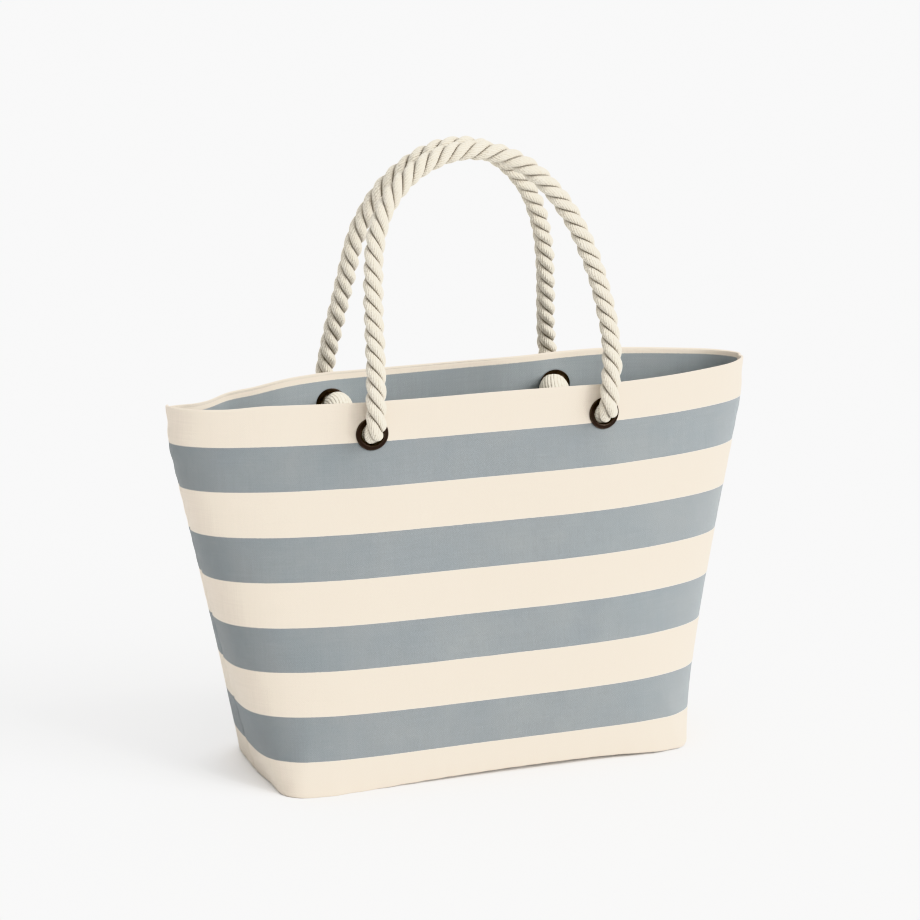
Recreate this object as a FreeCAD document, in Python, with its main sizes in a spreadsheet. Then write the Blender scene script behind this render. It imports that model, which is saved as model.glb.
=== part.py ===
"""Striped canvas beach bag with two rope handles.

Frame: millimetres, +Z up, +X to the right along the mouth, the front panel towards -Y.
The origin is the middle of the base, on the surface that the bag stands on.
"""
import FreeCAD, Part
import math
import os
import Sketcher

Vector = FreeCAD.Vector
os.makedirs("parts", exist_ok=True)
doc = FreeCAD.newDocument("beach_bag")

# ---------------------------------------------------------------------------
# Driving dimensions
# ---------------------------------------------------------------------------

DIMENSIONS = [
    # alias, value in millimetres, what it is
    ("top_width", 540.0, "width of the mouth, seam to seam"),
    ("base_width", 388.0, "width of the base, seam to seam"),
    ("base_depth", 162.0, "depth of the base, front to back"),
    ("mouth_depth", 118.0, "depth of the open mouth, front to back"),
    ("bag_height", 336.0, "height of the rim above the ground"),
    ("canvas_thickness", 1.2, "one layer of canvas"),
    ("hem_depth", 50.0, "canvas folded down inside the rim"),
    ("base_cloth", 2.4, "doubled canvas of the base"),
    ("binding_depth", 10.0, "how far a bound seam stands inward"),
    ("binding_thickness", 3.6, "two seam allowances and their tape"),
    ("seam_gap", 0.5, "between the walls and the sewn edge of the base"),
    ("eyelet_spacing", 209.0, "between the two eyelets of one panel"),
    ("eyelet_drop", 28.0, "eyelet centre below the rim"),
    ("front_eyelet_shift", 4.0, "the front pair sits this far to the right of centre"),
    ("back_eyelet_shift", 2.0, "the back pair sits this far to the right of centre"),
    ("fit_gap", 0.1, "gap between pressed faces"),
    ("rope_diameter", 17.0, "three-strand cotton rope"),
    ("rope_clearance", 1.6, "room round the rope in its eyelet"),
    ("handle_gap", 1.2, "between the two ropes where they lean together"),
    ("tail_length", 22.0, "rope end below the knot"),
    ("ring_width", 4.7, "eyelet ring beyond its bore"),
    ("barrel_wall", 0.9, "wall of the eyelet barrel"),
    ("barrel_lip", 0.5, "how far the barrel stands past its washer"),
    ("flange_thickness", 2.0, "height of the domed outer ring"),
    ("flange_round", 1.4, "rounding of the ring's outer edge"),
    ("washer_thickness", 1.0, "ring that backs the eyelet inside the bag"),
    ("pivot_clearance", 0.6, "between a handle and the face of its eyelets"),
    ("pivot_gap", 0.3, "gap between a handle and the rope end that carries it"),
]

FOLLOWING = [
    # alias, formula on the sizes above, what it is
    ("eyelet_bore", "=rope_diameter + rope_clearance", "clear hole that the rope passes through"),
    ("ring_diameter", "=eyelet_bore + 2 * ring_width", "outer ring of the eyelet, and its washer"),
    ("hole_radius", "=eyelet_bore / 2 + barrel_wall + fit_gap", "hole for the barrel"),
    ("grip", "=2 * canvas_thickness + fit_gap + washer_thickness", "held between ring and washer"),
    ("barrel_depth", "=grip + barrel_lip + fit_gap", "barrel behind its ring"),
    ("knot_diameter", "=rope_diameter * 2.25", "an overhand knot in this rope"),
    ("knot_drop", "=knot_diameter * 0.45", "knot centre below the eyelet centre"),
]

sheet = doc.addObject("Spreadsheet::Sheet", "sizes")
for row, (alias, value, note) in enumerate(DIMENSIONS + FOLLOWING, start=1):
    sheet.set(f"A{row}", note)
    sheet.set(f"B{row}", str(value))
    sheet.setAlias(f"B{row}", alias)
doc.recompute()


def size(alias):
    """A driving dimension as a plain number."""
    return float(getattr(sheet, alias))


# The outline of a level of the bag runs x = half_width * cos(a)^(2 / bow),
# y = half_depth * sin(a)^(2 * tip). A high bow and a low tip make a rounded box,
# a low bow and a high tip make a lens.
BASE_BOW, TOP_BOW = 3.3, 2.4
BASE_TIP, TOP_TIP = 0.23, 0.52
CORNER_BOW, CORNER_TIP = 2.9, 0.10   # what the boxed corners of the base add and take
CORNER_FADE = 8          # how soon the boxed corners die out on the way up
DEPTH_DELAY = 1.2        # above 1, the bag keeps its depth longer on the way up
OUTLINE_STEPS = 16       # spans in half an outline
LEVELS = (0.0, 0.04, 0.1, 0.25, 0.5, 0.75, 1.0)
HOLE_DEPTH = 12.0        # a punched hole starts and ends well clear of the hem
FRONT, BACK = -1, 1
LEFT, RIGHT = -1, 1

# ---------------------------------------------------------------------------
# Shape of the canvas wall
# ---------------------------------------------------------------------------


def half_width(share):
    """Half the width of the bag at a share of its height."""
    base, top = size("base_width") / 2, size("top_width") / 2
    return base + (top - base) * share


def half_depth(share):
    """Half the depth of the bag at a share of its height."""
    eased = share ** DEPTH_DELAY
    drawn_in = eased * eased * (3 - 2 * eased)
    base, top = size("base_depth") / 2, size("mouth_depth") / 2
    return base + (top - base) * drawn_in


def outline_points(share, inset, side, height):
    """Points of half an outline from the left seam to the right seam."""
    corner = (1 - share) ** CORNER_FADE
    bow = BASE_BOW + (TOP_BOW - BASE_BOW) * share + CORNER_BOW * corner
    tip = BASE_TIP + (TOP_TIP - BASE_TIP) * share - CORNER_TIP * corner
    width, depth = half_width(share) - inset, half_depth(share) - inset
    points = []
    for step in range(OUTLINE_STEPS + 1):
        angle = math.pi * step / OUTLINE_STEPS
        run, rise = math.cos(angle), math.sin(angle)
        x = -math.copysign(width * abs(run) ** (2 / bow), run)
        y = side * depth * max(rise, 0.0) ** (2 * tip)
        points.append(Vector(x, y, height))
    points[0] = Vector(-width, 0, height)
    points[-1] = Vector(width, 0, height)
    return points


def outline_edge(share, inset, side, height=None):
    """Half an outline as one smooth edge that leaves both seams square."""
    if height is None:
        height = share * size("bag_height")
    curve = Part.BSplineCurve()
    curve.interpolate(
        Points=outline_points(share, inset, side, height),
        InitialTangent=Vector(0, side, 0),
        FinalTangent=Vector(0, -side, 0),
        Scale=False,
    )
    return curve.toShape()


def wall_section(share, outer_inset, inner_inset, side):
    """Closed outline of one panel's wall at a level."""
    outer = outline_edge(share, outer_inset, side)
    inner = outline_edge(share, inner_inset, side)
    left = Part.makeLine(outer.Vertexes[0].Point, inner.Vertexes[0].Point)
    right = Part.makeLine(outer.Vertexes[-1].Point, inner.Vertexes[-1].Point)
    return Part.Wire([outer, right, inner, left])


def closed_outline(inset, level, height):
    """Whole outline of the bag at one height, drawn at another."""
    share = level / size("bag_height")
    edges = [outline_edge(share, inset, side, height) for side in (FRONT, BACK)]
    return Part.Wire(edges)


def add_feature(name, shape):
    """A document object that holds a shape made from the sheet's sizes."""
    feature = doc.addObject("Part::Feature", name)
    feature.Label = name
    feature.Shape = shape
    feature.Placement = FreeCAD.Placement()
    return feature


def add_loft(name, wires):
    """A smooth solid through closed outlines."""
    sections = [add_feature(f"{name}_outline_{index}", wire) for index, wire in enumerate(wires)]
    loft = doc.addObject("Part::Loft", name)
    loft.Sections = sections
    loft.Solid = True
    loft.Ruled = False
    return loft


def add_boolean(kind, name, base, tool):
    """A Part::Cut, Part::Fuse or Part::Common of two objects."""
    result = doc.addObject(f"Part::{kind}", name)
    result.Base = base
    result.Tool = tool
    result.Label = name
    return result


def add_cylinder(name, radius, height, placement):
    """A cylinder whose sizes are expressions on the sheet."""
    cylinder = doc.addObject("Part::Cylinder", name)
    cylinder.setExpression("Radius", radius)
    cylinder.setExpression("Height", height)
    cylinder.Placement = placement
    return cylinder


# ---------------------------------------------------------------------------
# Places on the panels
# ---------------------------------------------------------------------------

PROBE_STEP = 4.0         # half the distance over which a wall's slope is read


def wall_hit(wall, x, z, side):
    """Outer and inner y of a wall where a line along Y crosses it."""
    reach = size("base_depth") + size("mouth_depth")
    line = Part.makeLine(Vector(x, side * reach, z), Vector(x, 0, z))
    crossing = wall.common(line)
    ends = sorted((vertex.Point.y for vertex in crossing.Vertexes), key=lambda y: -abs(y))
    return ends[0], ends[-1]


def eyelet_height():
    return size("bag_height") - size("eyelet_drop")


def eyelet_x(side, hand):
    shift = size("front_eyelet_shift") if side == FRONT else size("back_eyelet_shift")
    return shift + hand * size("eyelet_spacing") / 2


def eyelet_placement(wall, side, hand):
    """Eyelet frame: origin on the outer face, +Z straight out of the panel."""
    x, z = eyelet_x(side, hand), eyelet_height()
    outer, _ = wall_hit(wall, x, z, side)
    slope_x = wall_hit(wall, x + PROBE_STEP, z, side)[0] - wall_hit(wall, x - PROBE_STEP, z, side)[0]
    slope_z = wall_hit(wall, x, z + PROBE_STEP, side)[0] - wall_hit(wall, x, z - PROBE_STEP, side)[0]
    along_x = Vector(2 * PROBE_STEP, slope_x, 0)
    along_z = Vector(0, slope_z, 2 * PROBE_STEP)
    outward = along_x.cross(along_z)
    if outward.y * side < 0:
        outward = outward * -1
    turn = FreeCAD.Rotation(Vector(0, 0, 1), outward)
    return FreeCAD.Placement(Vector(x, outer, z), turn)


def shifted(placement, along):
    """The same frame moved along its own +Z."""
    return placement.multiply(FreeCAD.Placement(Vector(0, 0, along), FreeCAD.Rotation()))


SIDES = ((FRONT, "front"), (BACK, "back"))
HANDS = ((LEFT, "left"), (RIGHT, "right"))
parts = []

# ---------------------------------------------------------------------------
# Canvas panels: one wall each, a folded hem at the rim and two eyelet holes
# ---------------------------------------------------------------------------


def add_panel(side, side_name):
    canvas = size("canvas_thickness")
    wall = add_loft(
        f"{side_name}_wall",
        [wall_section(level, 0.0, canvas, side) for level in LEVELS],
    )
    hem_foot = 1 - size("hem_depth") / size("bag_height")
    hem_levels = (hem_foot, (hem_foot + 1) / 2, 1.0)
    hem = add_loft(
        f"{side_name}_hem",
        [wall_section(level, canvas / 2, 2 * canvas, side) for level in hem_levels],
    )
    doc.recompute()
    hemmed = add_boolean("Fuse", f"{side_name}_hemmed_wall", wall, hem)
    doc.recompute()
    places = {}
    panel = hemmed
    for hand, hand_name in HANDS:
        place = eyelet_placement(hemmed.Shape, side, hand)
        places[hand] = place
        hole = add_cylinder(
            f"{side_name}_{hand_name}_hole",
            "sizes.hole_radius",
            f"{HOLE_DEPTH}",
            shifted(place, -HOLE_DEPTH / 2),
        )
        last = hand == RIGHT
        name = f"{side_name}_panel" if last else f"{side_name}_half_pierced"
        panel = add_boolean("Cut", name, panel, hole)
    doc.recompute()
    parts.append(panel)
    return places


eyelet_places = {side: add_panel(side, side_name) for side, side_name in SIDES}

# ---------------------------------------------------------------------------
# Base panel and the bound seams inside the bag
# ---------------------------------------------------------------------------


def add_base(name):
    """The doubled base cloth, just inside the foot of the walls."""
    slab = doc.addObject("Part::Extrusion", name)
    slab.Base = add_feature(f"{name}_outline", closed_outline(base_edge, 0.0, 0.0))
    slab.Dir = Vector(0, 0, 1)
    slab.Solid = True
    slab.setExpression("LengthFwd", "sizes.base_cloth")
    slab.Label = name
    return slab


def add_ring_side(name, inset):
    """The base seam's standing edge, filled in, from its foot to its head."""
    foot = size("base_cloth")
    head = foot + size("binding_depth")
    return add_loft(name, [closed_outline(inset, level, level) for level in (foot, head)])


wall_inside = size("canvas_thickness") + size("fit_gap")
base_edge = size("canvas_thickness") + size("seam_gap")
parts.append(add_base("base_panel"))
ring_outer = add_ring_side("ring_outer", base_edge)
ring_inner = add_ring_side("ring_inner", base_edge + size("binding_thickness"))
doc.recompute()
parts.append(add_boolean("Cut", "base_seam_binding", ring_outer, ring_inner))


def binding_section(height, hand):
    """Rectangle of a side seam's standing edge at a height."""
    share = height / size("bag_height")
    hem_foot = size("bag_height") - size("hem_depth")
    inset = wall_inside if height < hem_foot else wall_inside + size("canvas_thickness")
    seam = hand * (half_width(share) - inset)
    end = seam - hand * size("binding_depth")
    half = size("binding_thickness") / 2
    corners = [Vector(seam, -half, height), Vector(seam, half, height),
               Vector(end, half, height), Vector(end, -half, height)]
    return Part.makePolygon(corners + corners[:1])


binding_foot = size("base_cloth") + size("binding_depth") + size("fit_gap")
binding_head = size("bag_height") - size("hem_depth") - 2 * size("fit_gap")
for hand, hand_name in HANDS:
    binding = doc.addObject("Part::Loft", f"{hand_name}_seam_binding")
    binding.Sections = [
        add_feature(f"{hand_name}_binding_outline_{index}", binding_section(height, hand))
        for index, height in enumerate((binding_foot, binding_head))
    ]
    binding.Solid = True
    binding.Ruled = True
    binding.Label = f"{hand_name}_seam_binding"
    parts.append(binding)
doc.recompute()

# ---------------------------------------------------------------------------
# Eyelets: a flanged barrel outside and a plain ring inside, four of each
# ---------------------------------------------------------------------------


def origin_plane(body, role):
    """One of a body's own origin planes."""
    return next(item for item in body.Origin.OriginFeatures if item.Role == role)


def add_eyelet(name, placement):
    """Flanged barrel, turned about its own Z and rounded on its outer edges."""
    body = doc.addObject("PartDesign::Body", name)
    body.Label = name
    sketch = body.newObject("Sketcher::SketchObject", f"{name}_profile")
    sketch.AttachmentSupport = [(origin_plane(body, "XZ_Plane"), "")]
    sketch.MapMode = "FlatFace"
    bore, barrel = size("eyelet_bore") / 2, size("eyelet_bore") / 2 + size("barrel_wall")
    flange, top, foot = size("ring_diameter") / 2, size("flange_thickness"), -size("barrel_depth")
    corners = [(bore, foot), (barrel, foot), (barrel, 0.0), (flange, 0.0), (flange, top), (bore, top)]
    for index, start in enumerate(corners):
        end = corners[(index + 1) % len(corners)]
        sketch.addGeometry(Part.LineSegment(Vector(*start, 0), Vector(*end, 0)), False)
    for index in range(len(corners)):
        follower = (index + 1) % len(corners)
        sketch.addConstraint(Sketcher.Constraint("Coincident", index, 2, follower, 1))
        direction = "Horizontal" if index % 2 == 0 else "Vertical"
        sketch.addConstraint(Sketcher.Constraint(direction, index))
    radial = ((0, 1, bore, "sizes.eyelet_bore / 2"),
              (1, 1, barrel, "sizes.eyelet_bore / 2 + sizes.barrel_wall"),
              (3, 1, flange, "sizes.ring_diameter / 2"))
    for line, end, value, formula in radial:
        index = sketch.addConstraint(Sketcher.Constraint("DistanceX", -1, 1, line, end, value))
        sketch.setExpression(f"Constraints[{index}]", formula)
    sketch.addConstraint(Sketcher.Constraint("PointOnObject", 2, 2, -1))
    index = sketch.addConstraint(Sketcher.Constraint("DistanceY", 2, 2, 4, 1, top))
    sketch.setExpression(f"Constraints[{index}]", "sizes.flange_thickness")
    index = sketch.addConstraint(Sketcher.Constraint("DistanceY", 0, 1, 2, 2, -foot))
    sketch.setExpression(f"Constraints[{index}]", "sizes.barrel_depth")
    turned = body.newObject("PartDesign::Revolution", f"{name}_turned")
    turned.Profile = sketch
    turned.ReferenceAxis = (sketch, ["V_Axis"])
    turned.Angle = 360.0
    doc.recompute()
    rounded = body.newObject("PartDesign::Fillet", f"{name}_rounded")
    rounded.Base = (turned, outer_rims(turned.Shape))
    rounded.setExpression("Radius", "min(sizes.flange_round; sizes.flange_thickness * 0.9)")
    body.Tip = rounded
    body.Placement = shifted(placement, size("fit_gap"))
    parts.append(body)


def outer_rims(shape):
    """Names of the two circular edges of the flange's outer face."""
    top = shape.BoundBox.ZMax
    names = []
    for index, edge in enumerate(shape.Edges, start=1):
        is_round = isinstance(edge.Curve, Part.Circle)
        if is_round and abs(edge.BoundBox.ZMin - top) < 1e-6:
            names.append(f"Edge{index}")
    return names


def add_washer(name, placement):
    """Plain ring over the barrel, against the inner face of the hem."""
    face = shifted(placement, -size("grip"))
    ring = add_cylinder(f"{name}_disc", "sizes.ring_diameter / 2", "sizes.washer_thickness", face)
    hole = add_cylinder(
        f"{name}_bore",
        "sizes.hole_radius",
        "sizes.washer_thickness * 3",
        shifted(face, -size("washer_thickness")),
    )
    parts.append(add_boolean("Cut", name, ring, hole))


for side, side_name in SIDES:
    for hand, hand_name in HANDS:
        add_eyelet(f"{side_name}_{hand_name}_eyelet", eyelet_places[side][hand])
        add_washer(f"{side_name}_{hand_name}_washer", eyelet_places[side][hand])
doc.recompute()

# ---------------------------------------------------------------------------
# Stopper knots: the end of the rope through the eyelet, its knot and its tail
# ---------------------------------------------------------------------------


def pivot_reach(side):
    """How far a handle's pivots stand from the bag's middle, clear of both its eyelets."""
    canvas = max(abs(place.Base.y) for place in eyelet_places[side].values())
    rope = size("rope_diameter") / 2
    return canvas + size("flange_thickness") + size("pivot_clearance") + rope


def add_knot(name, side, hand):
    x, z = eyelet_x(side, hand), eyelet_height()
    stub_face = side * (pivot_reach(side) - size("rope_diameter") / 2 - size("pivot_gap"))
    knot_stand = size("barrel_depth") + size("knot_diameter") / 2
    knot_y = eyelet_places[side][hand].Base.y - side * knot_stand
    inward = FreeCAD.Rotation(Vector(0, 0, 1), Vector(0, -side, 0))
    stub = add_cylinder(
        f"{name}_stub",
        "sizes.rope_diameter / 2",
        f"{abs(stub_face - knot_y)}",
        FreeCAD.Placement(Vector(x, stub_face, z), inward),
    )
    ball = doc.addObject("Part::Sphere", f"{name}_ball")
    ball.setExpression("Radius", "sizes.knot_diameter / 2")
    knot_z = z - size("knot_drop")
    ball.Placement = FreeCAD.Placement(Vector(x, knot_y, knot_z), FreeCAD.Rotation())
    tail = add_cylinder(
        f"{name}_tail",
        "sizes.rope_diameter / 2",
        "sizes.knot_diameter / 2 + sizes.tail_length",
        FreeCAD.Placement(Vector(x, knot_y, knot_z), FreeCAD.Rotation(Vector(1, 0, 0), 180)),
    )
    knot = doc.addObject("Part::MultiFuse", name)
    knot.Shapes = [stub, ball, tail]
    knot.Label = name
    parts.append(knot)


for side, side_name in SIDES:
    for hand, hand_name in HANDS:
        add_knot(f"{side_name}_{hand_name}_knot", side, hand)
doc.recompute()

# ---------------------------------------------------------------------------
# Rope handles: each rises from its left eyelet, leans in and comes down again
# ---------------------------------------------------------------------------

# Drawn for the sizes above; fitted_route stretches a route to the bag's own pivots.
FRONT_ROUTE = [
    (-100.5, -68, 308), (-100.5, -68, 333), (-97, -58, 368), (-95, -44, 418), (-88, -28, 474),
    (-64, -17, 510), (-25, -10, 532), (15, -9.1, 535), (53, -14, 520), (84, -25, 486),
    (104, -37, 440), (114, -49, 392), (114.5, -61, 354), (108.5, -68, 332), (108.5, -68, 308),
]
BACK_ROUTE = [
    (-102.5, 68, 308), (-104, 68, 332), (-100, 58, 367), (-92, 44, 415), (-85, 31, 464),
    (-65, 19, 503), (-30, 11, 531), (8, 9.1, 537), (44, 13, 520), (71, 22, 489),
    (87, 33, 447), (94, 46, 401), (99, 59, 359), (105, 68, 332), (106.5, 68, 308),
]
RUN_SHARE = 0.45         # how much of the shorter run an arc takes on each side


def rounded_path(points):
    """Straight runs joined by tangent arcs, and the arcs' radii."""
    edges, radii = [], []
    start = points[0]
    for before, corner, after in zip(points, points[1:], points[2:]):
        back, ahead = before - corner, after - corner
        cut = RUN_SHARE * min(back.Length, ahead.Length)
        turn = math.pi - back.getAngle(ahead)
        radii.append(cut / math.tan(turn / 2))
        back.normalize()
        ahead.normalize()
        enter, leave = corner + back * cut, corner + ahead * cut
        middle = back + ahead
        middle.normalize()
        bulge = corner + middle * (radii[-1] / math.cos(turn / 2) - radii[-1])
        edges.append(Part.LineSegment(start, enter).toShape())
        edges.append(Part.Arc(enter, bulge, leave).toShape())
        start = leave
    edges.append(Part.LineSegment(start, points[-1]).toShape())
    return Part.Wire(edges), radii


def fitted_route(route, side):
    """A drawn route with its ends on the pivots and its middle clear of the other handle."""
    start, end = route[0], route[-1]
    closest = min(abs(y) for _, y, _ in route)
    middle = (size("rope_diameter") + size("handle_gap")) / 2
    left, width = eyelet_x(side, LEFT), size("eyelet_spacing")
    points = []
    for x, y, z in route:
        across = (x - start[0]) / (end[0] - start[0])
        out = (abs(y) - closest) / (abs(start[1]) - closest)
        depth = middle + (pivot_reach(side) - middle) * out
        points.append(Vector(left + width * across, side * depth, z - start[2] + eyelet_height()))
    return points


def add_handle(name, route, side):
    """Rope from pivot to pivot, with a ball end on each pivot."""
    radius = size("rope_diameter") / 2
    points = fitted_route(route, side)
    path, radii = rounded_path(points)
    circle = Part.Wire(Part.makeCircle(radius, points[0], points[1] - points[0]))
    tube = path.makePipeShell([circle], True, False)
    expected = math.pi * radius ** 2 * path.Length
    print(f"{name}: pivots {side * pivot_reach(side):.2f} mm from the middle")
    print(f"{name}: length {path.Length:.1f} mm, tube volume {tube.Volume:.0f}, "
          f"section x length {expected:.0f}")
    print("  radii " + " ".join(f"{value:.0f}" for value in radii))
    if abs(tube.Volume / expected - 1) > 0.01:
        raise RuntimeError(f"{name}: the tube does not hold its section")
    rope = tube
    for end in (points[0], points[-1]):
        rope = rope.fuse(Part.makeSphere(radius, end))
    handle = add_feature(name, rope.removeSplitter())
    parts.append(handle)
    return handle


front_handle = add_handle("front_handle", FRONT_ROUTE, FRONT)
back_handle = add_handle("back_handle", BACK_ROUTE, BACK)
doc.recompute()
apex_gap = front_handle.Shape.distToShape(back_handle.Shape)[0]
print(f"gap between the handles {apex_gap:.2f} mm")

# ---------------------------------------------------------------------------
# Check and write
# ---------------------------------------------------------------------------

for item in doc.Objects:
    if "Invalid" in item.State or "Error" in item.State:
        raise RuntimeError(f"{item.Label} failed: {item.State}")
for part in parts:
    if part.Shape.isNull() or not part.Shape.isValid():
        raise RuntimeError(f"{part.Label} has no valid shape")
for part in parts:
    part.Shape.exportStep(f"parts/{part.Label}.step")
    box = part.Shape.BoundBox
    print(f"{part.Label}: solids {len(part.Shape.Solids)}, volume {part.Shape.Volume:.0f}, "
          f"x {box.XMin:.1f} {box.XMax:.1f}  y {box.YMin:.1f} {box.YMax:.1f}  "
          f"z {box.ZMin:.1f} {box.ZMax:.1f}")
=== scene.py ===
"""Looks of a striped canvas beach bag with twisted rope handles, laid out as an add-on."""
import math

import bmesh
import bpy
import numpy as np
from mathutils import Matrix, Vector, noise


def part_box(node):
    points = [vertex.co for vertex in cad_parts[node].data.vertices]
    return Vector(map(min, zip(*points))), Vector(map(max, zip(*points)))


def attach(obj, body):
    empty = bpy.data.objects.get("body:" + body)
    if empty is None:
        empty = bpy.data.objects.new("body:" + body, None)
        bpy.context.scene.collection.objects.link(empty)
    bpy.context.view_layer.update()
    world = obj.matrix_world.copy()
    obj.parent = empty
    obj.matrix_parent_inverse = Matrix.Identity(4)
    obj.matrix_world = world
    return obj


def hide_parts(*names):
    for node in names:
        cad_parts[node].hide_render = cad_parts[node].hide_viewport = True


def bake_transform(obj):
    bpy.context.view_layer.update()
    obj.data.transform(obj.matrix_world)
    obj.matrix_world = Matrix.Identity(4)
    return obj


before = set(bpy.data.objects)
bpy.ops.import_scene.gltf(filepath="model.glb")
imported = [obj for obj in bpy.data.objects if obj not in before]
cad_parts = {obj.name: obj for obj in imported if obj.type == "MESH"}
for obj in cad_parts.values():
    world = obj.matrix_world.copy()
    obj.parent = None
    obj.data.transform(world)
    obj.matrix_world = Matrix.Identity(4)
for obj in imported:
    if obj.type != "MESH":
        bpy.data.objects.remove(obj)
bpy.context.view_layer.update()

bl_info = {
    "name": "Striped beach bag",
    "version": (1, 0, 0),
    "blender": (4, 5, 0),
    "location": "3D View > Sidebar > Beach bag",
    "description": "Canvas, eyelets, rope handles and stage of a striped beach bag",
    "category": "Object",
}

MM = 0.001
FRONT, BACK = -1, 1
LEFT, RIGHT = -1, 1
SIDES = ((FRONT, "front"), (BACK, "back"))
HANDS = ((LEFT, "left"), (RIGHT, "right"))

PANEL_LOW, PANEL_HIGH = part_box("front_panel")
BASE_LOW, BASE_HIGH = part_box("base_panel")
RIM = PANEL_HIGH.z
TOP_HALF_WIDTH = PANEL_HIGH.x
BELLY_HALF_DEPTH = -PANEL_LOW.y
BODY_OF_HANDLE = {FRONT: "front_handle", BACK: "back_handle"}

# Outline of a level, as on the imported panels: x = w cos(a)^(2/bow), y = d sin(a)^(2 tip)
BASE_BOW, TOP_BOW = 3.3, 2.4
BASE_TIP, TOP_TIP = 0.23, 0.52
CORNER_BOW, CORNER_TIP = 2.9, 0.10
CORNER_FADE = 8
DEPTH_DELAY = 1.2

# Each handle's route from pivot to pivot, in millimetres
FRONT_ROUTE = [
    (-100.5, -68, 308), (-100.5, -68, 333), (-97, -58, 368), (-95, -44, 418), (-88, -28, 474),
    (-64, -17, 510), (-25, -10, 532), (15, -9.1, 535), (53, -14, 520), (84, -25, 486),
    (104, -37, 440), (114, -49, 392), (114.5, -61, 354), (108.5, -68, 332), (108.5, -68, 308),
]
BACK_ROUTE = [
    (-102.5, 68, 308), (-104, 68, 332), (-100, 58, 367), (-92, 44, 415), (-85, 31, 464),
    (-65, 19, 503), (-30, 11, 531), (8, 9.1, 537), (44, 13, 520), (71, 22, 489),
    (87, 33, 447), (94, 46, 401), (99, 59, 359), (105, 68, 332), (106.5, 68, 308),
]
ROUTES = {
    FRONT: [tuple(value * MM for value in point) for point in FRONT_ROUTE],
    BACK: [tuple(value * MM for value in point) for point in BACK_ROUTE],
}


# --- What a user would change ---


def length_property(name, description, default):
    return bpy.props.FloatProperty(
        name=name, description=description, default=default, unit="LENGTH", precision=5,
    )


def colour_property(name, description, default):
    return bpy.props.FloatVectorProperty(
        name=name, description=description, default=default, subtype="COLOR", size=3,
        min=0.0, max=1.0,
    )


class BEACHBAG_PG_sizes(bpy.types.PropertyGroup):
    """Sizes of the cloth, rope and metal."""

    base_half_width: length_property("Base half width", "Middle of the base to a side seam", 0.194)
    base_half_depth: length_property("Base half depth", "Middle of the base to a panel", 0.081)
    mouth_half_depth: length_property("Mouth half depth", "Middle of the mouth to its rim", 0.059)
    cloth: length_property("Cloth", "Thickness of one layer of canvas", 1.3 * MM)
    hem: length_property("Hem", "Canvas folded down inside the rim", 50 * MM)
    first_stripe: length_property("First stripe", "Rim to the first colour change", 34.3 * MM)
    stripe: length_property("Stripe", "Height of one stripe", 38.8 * MM)
    thread: length_property("Thread", "Spacing of the canvas threads", 0.85 * MM)
    rope_radius: length_property("Rope radius", "Radius round the three strands", 8.6 * MM)
    rope_lay: length_property("Rope lay", "Length of one full turn of a strand", 41 * MM)
    eyelet_bore: length_property("Eyelet bore", "Radius of the clear hole", 9.3 * MM)
    eyelet_ring: length_property("Eyelet ring", "Radius of the outer ring", 14.0 * MM)
    seam_gap: length_property("Seam gap", "Base cloth's edge inside the wall's face", 1.7 * MM)
    tape_depth: length_property("Tape depth", "How far a bound seam stands", 10 * MM)
    tape_width: length_property("Tape width", "Thickness of a bound seam", 3.5 * MM)
    stitch: length_property("Stitch", "Length of one stitch", 2.5 * MM)
    stitch_step: length_property("Stitch step", "From stitch to stitch", 3.4 * MM)


class BEACHBAG_PG_colours(bpy.types.PropertyGroup):
    """Colours of the cloth, rope and metal."""

    cream: colour_property("Cream", "Undyed canvas", (0.66, 0.59, 0.50))
    blue: colour_property("Blue-grey", "Dyed canvas", (0.192, 0.214, 0.223))
    rope: colour_property("Rope", "Natural cotton rope", (0.80, 0.75, 0.635))
    tape: colour_property("Tape", "Binding tape", (0.63, 0.57, 0.48))
    metal: colour_property("Metal", "Dark antique plating", (0.033, 0.026, 0.023))


# --- Mesh helpers ---


def link_mesh(name, vertices, faces, smooth=True):
    """A mesh object with its place in its vertices."""
    mesh = bpy.data.meshes.new(name)
    mesh.from_pydata([tuple(v) for v in vertices], [], faces)
    mesh.validate()
    if smooth:
        mesh.polygons.foreach_set("use_smooth", [True] * len(mesh.polygons))
    mesh.update()
    obj = bpy.data.objects.new(name, mesh)
    bpy.context.scene.collection.objects.link(obj)
    return obj


def grid_faces(rows, columns, wrap=False, around=False):
    """Quads of a grid of points laid out row by row; wrap joins the last row to the first,
    around joins the last column to the first."""
    faces = []
    for row in range(rows if wrap else rows - 1):
        upper = (row + 1) % rows
        for column in range(columns if around else columns - 1):
            following = (column + 1) % columns
            faces.append((row * columns + column, row * columns + following,
                          upper * columns + following, upper * columns + column))
    return faces


def set_uv(obj, values):
    """Writes one (u, v) pair for each vertex into the piece's own map."""
    layer = obj.data.uv_layers.new(name="cloth")
    index = np.zeros(len(obj.data.loops), int)
    obj.data.loops.foreach_get("vertex_index", index)
    layer.data.foreach_set("uv", np.asarray(values, float)[index].ravel())


def paint(obj, slot, finish=None):
    """Gives a piece its finish: the one named by finish, else the one named by slot."""
    obj.data.materials.clear()
    obj.data.materials.append(finish_of(finish or slot))


def stand_for(obj, slot, node):
    """Finishes a piece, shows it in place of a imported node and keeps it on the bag."""
    paint(obj, slot)
    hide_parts(node)
    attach(obj, "bag")


def set_corner_uv(obj, values):
    """Writes one (u, v) pair for each face corner into the piece's own map."""
    layer = obj.data.uv_layers.new(name="cloth")
    layer.data.foreach_set("uv", np.asarray(values, float).ravel())


def plain_mesh(obj):
    """The evaluated object as a plain mesh, its modifiers gone."""
    graph = bpy.context.evaluated_depsgraph_get()
    mesh = bpy.data.meshes.new_from_object(obj.evaluated_get(graph))
    obj.modifiers.clear()
    obj.data = mesh
    return obj


# --- Node helpers ---


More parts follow.
